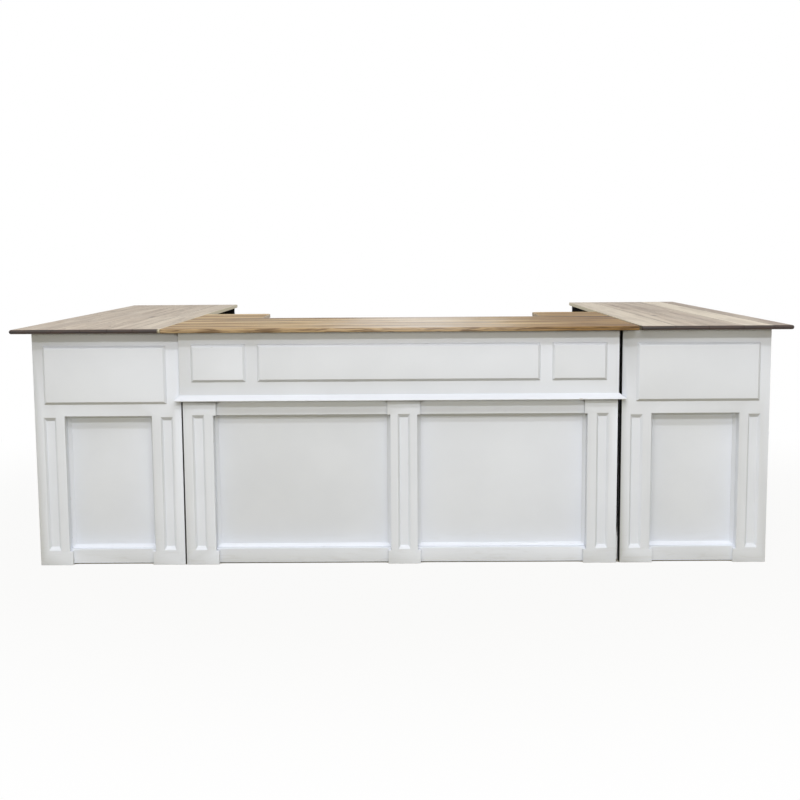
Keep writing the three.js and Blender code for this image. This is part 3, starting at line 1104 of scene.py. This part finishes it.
def wing_unit(
    name: str,
    inner: Side,
    shares: tuple[float, ...],
    tones: tuple[float, ...],
    seed: int,
    shade_gap_in_black: bool,
    bare_from: float,
) -> Unit:
    """A wing with its long plank top.

    Args:
        name: the wing's body.
        inner: the side that its open carcass looks to.
        shares, tones: widths of the planks against each other and their tones, from left to right.
        seed: for the planks' own waves and grain.
        shade_gap_in_black: whether the side of the front frame in the gap to the centre is black too, also
            as painted shade for that deep gap.
        bare_from: how far behind the front the unstained inner edge of the top begins.

    Returns:
        The unit.
    """
    round_edge, plain_edge = 8.6 * MM, 1.6 * MM
    top = PlankTop(
        node=name + "_top",
        body=name,
        slot=GREY_WOOD.name,
        run=Run.ALONG_WING,
        shares=shares,
        tones=tones,
        seed=seed,
        ends=(round_edge, plain_edge) if inner is Side.RIGHT else (plain_edge, round_edge),
        seam=0.6 * MM,
        eased=1.2 * MM,
        bare_from=bare_from,
        bare=(inner is Side.LEFT, inner is Side.RIGHT),
    )
    inside = {
        name + "_front_sheet": Side.BACK,
        name + "_side_sheet": inner,
        name + "_back_end": Side.FRONT,
    }
    # black paint on the frame's side in the gap, which also stands in for the deep shade there
    if shade_gap_in_black:
        inside[name + "_front_frame"] = inner
    return Unit(name, inside, [top])


@dataclass(frozen=True)
class PhotoCamera:
    """The viewpoint of the photograph, fitted to the edges of the bar. Angles are in degrees."""

    place: Point = (0.0377, -6.5022, 1.3967)
    focal: float = 1220.0  # pixels
    picture: float = 800.0  # pixels across
    sensor: float = 36.0  # mm
    down: float = 6.970
    left: float = 0.457
    roll: float = -0.401

    def build(self) -> None:
        """Makes the camera: turned from the upright, then to the left, and rolled about its own axis."""
        data = bpy.data.cameras.new("photo_camera")
        data.sensor_width = self.sensor
        data.lens = self.focal * self.sensor / self.picture
        camera = into_scene("photo_camera", data)
        turn = (
            Matrix.Rotation(math.radians(self.left), 4, "Z")
            @ Matrix.Rotation(math.radians(90.0 - self.down), 4, "X")
            @ Matrix.Rotation(math.radians(self.roll), 4, "Z")
        )
        camera.matrix_world = Matrix.Translation(Vector(self.place)) @ turn
        bpy.context.scene.camera = camera


@dataclass(frozen=True)
class Lamp:
    """A soft rectangular lamp that faces a point, in metres and watts."""

    name: str
    place: Point
    aim: Point
    size: tuple[float, float]
    power: float

    def build(self, tint: Point) -> None:
        """Makes the lamp, with light of a tint."""
        data = bpy.data.lights.new(self.name, "AREA")
        data.shape = "RECTANGLE"
        data.size, data.size_y = self.size
        data.energy = self.power
        data.color = tint
        lamp = into_scene(self.name, data)
        lamp.location = self.place
        lamp.rotation_mode = "QUATERNION"
        lamp.rotation_quaternion = (Vector(self.aim) - Vector(self.place)).to_track_quat("-Z", "Y")


LAMPS = (
    Lamp("low_light", (0.0, -8.2, 1.3), (0.0, -1.1, 0.4), (8.0, 1.2), 102.0),
    Lamp("front_light", (0.0, -9.0, 5.6), (0.0, -1.1, 0.5), (9.0, 0.4), 248.0),
    Lamp("high_light", (0.0, -5.6, 5.7), (0.0, -1.1, 0.5), (7.0, 0.4), 122.0),
    Lamp("over_light", (0.0, -2.8, 4.4), (0.0, -2.2, 0.0), (7.0, 2.0), 42.0),
    Lamp("top_light", (0.0, 0.4, 4.4), (0.0, 0.4, 0.0), (4.0, 3.0), 20.0),
    Lamp("left_light", (-5.5, 2.6, 3.0), (-0.8, 0.2, 0.6), (3.0, 2.0), 95.0),
    Lamp("right_light", (5.5, 2.6, 3.0), (0.8, 0.2, 0.6), (3.0, 2.0), 95.0),
)


@dataclass(frozen=True)
class Studio:
    """A white stage: a warm soft surround, a floor that throws warm light back, and slightly cool lamps."""

    fill: float = 0.38
    fill_tint: Colour = (1.0, 0.96, 0.85, 1.0)
    lamp_tint: Point = (0.965, 0.972, 1.0)
    floor_reach: float = 40.0
    floor_tone: Colour = (0.28, 0.235, 0.1, 1.0)
    floor_roughness: float = 0.9
    floor_glow: float = 0.94  # near the bar, and 1 farther out
    glow_full: tuple[float, float] = (1.8, 4.0)  # metres from the middle, where it begins and ends to rise
    roof: float = 0.4  # metres above the floor that darken it

    def build(self) -> None:
        """Makes the surround, the floor and the lamps."""
        bpy.context.scene.view_settings.view_transform = "Standard"
        self.surround()
        self.floor()
        for lamp in LAMPS:
            lamp.build(self.lamp_tint)

    def seen(self, graph: Graph) -> NodeSocket:
        """1 for rays that show the stage itself or its mirror image, 0 for rays that light the bar."""
        path = graph.add("LightPath").outputs
        shown = graph.math("ADD", path["Is Camera Ray"], path["Is Glossy Ray"])
        return graph.math("ADD", shown, path["Is Transmission Ray"], clamp=True)

    def surround(self) -> None:
        """Makes the world: white where it is seen, and an even, warm, soft light where it lights."""
        world = bpy.data.worlds.new("white_surround")
        bpy.context.scene.world = world
        world.use_nodes = True
        graph = Graph(world.node_tree)
        shown = self.seen(graph)
        values = {
            "Color": graph.mix(self.fill_tint, WHITE, shown),
            "Strength": graph.plus(self.fill, shown, 1.0 - self.fill),
        }
        graph.feed(world.node_tree.nodes["Background"], values)

    def floor(self) -> None:
        """Makes the floor: white where it is seen, but dark under the bar, and warm where it lights.

        Near the bar a little of the real floor shows through the white, and takes the bar's shadow.
        """
        half = self.floor_reach / 2
        corners = [(-half, -half, 0.0), (half, -half, 0.0), (half, half, 0.0), (-half, half, 0.0)]
        mesh = bpy.data.meshes.new("floor")
        mesh.from_pydata(corners, [], [(0, 1, 2, 3)])
        floor = into_scene("floor", mesh)
        material, graph, shader, place = new_material("pale_floor")
        matt = {"Base Color": self.floor_tone, "Roughness": self.floor_roughness, "Specular IOR Level": 0.0}
        graph.feed(shader, matt)
        glow = graph.add("Emission", {"Color": WHITE, "Strength": 1.0})
        away = graph.add("VectorMath", {0: place}, operation="LENGTH").outputs["Value"]
        white = graph.plus(self.floor_glow, graph.step(away, *self.glow_full), 1.0 - self.floor_glow)
        roofed = graph.add("AmbientOcclusion", {"Distance": self.roof}, samples=8).outputs["AO"]
        open_floor = graph.step(roofed, 0.12, 0.4)
        share = graph.math("MULTIPLY", self.seen(graph), graph.math("MULTIPLY", white, open_floor))
        both = graph.add("MixShader", {0: share, 1: shader.outputs[0], 2: glow.outputs[0]})
        graph.feed(material.node_tree.nodes["Material Output"], {"Surface": both.outputs[0]})
        mesh.materials.append(material)


def main() -> None:
    """Builds the stage and the three units."""
    logging.basicConfig(level=logging.INFO, format="%(name)s: %(message)s")
    PhotoCamera().build()
    Studio().build()
    effects = Effects.build()
    paints = Paints.build(effects)
    woods = {
        GOLDEN_WOOD.name: GOLDEN_WOOD.build(effects, Run.ALONG_FRONT),
        GREY_WOOD.name: GREY_WOOD.build(effects, Run.ALONG_WING),
    }
    left = wing_unit(
        name="left_wing",
        inner=Side.RIGHT,
        shares=(0.28, 0.19, 0.18, 0.17, 0.18),
        tones=(0.42, 0.5, 0.46, 0.6, 0.7),
        seed=51,
        shade_gap_in_black=False,
        bare_from=0.0,
    )
    right = wing_unit(
        name="right_wing",
        inner=Side.LEFT,
        shares=(0.22, 0.22, 0.23, 0.2, 0.13),
        tones=(0.8, 0.44, 0.34, 0.92, 0.12),
        seed=61,
        shade_gap_in_black=True,
        bare_from=60.0 * MM,
    )
    for unit in (centre_unit(), left, right):
        unit.build(paints, woods)
    centre_screws().build(SCREW_STEEL.build())


if __name__ == "__main__":
    main()
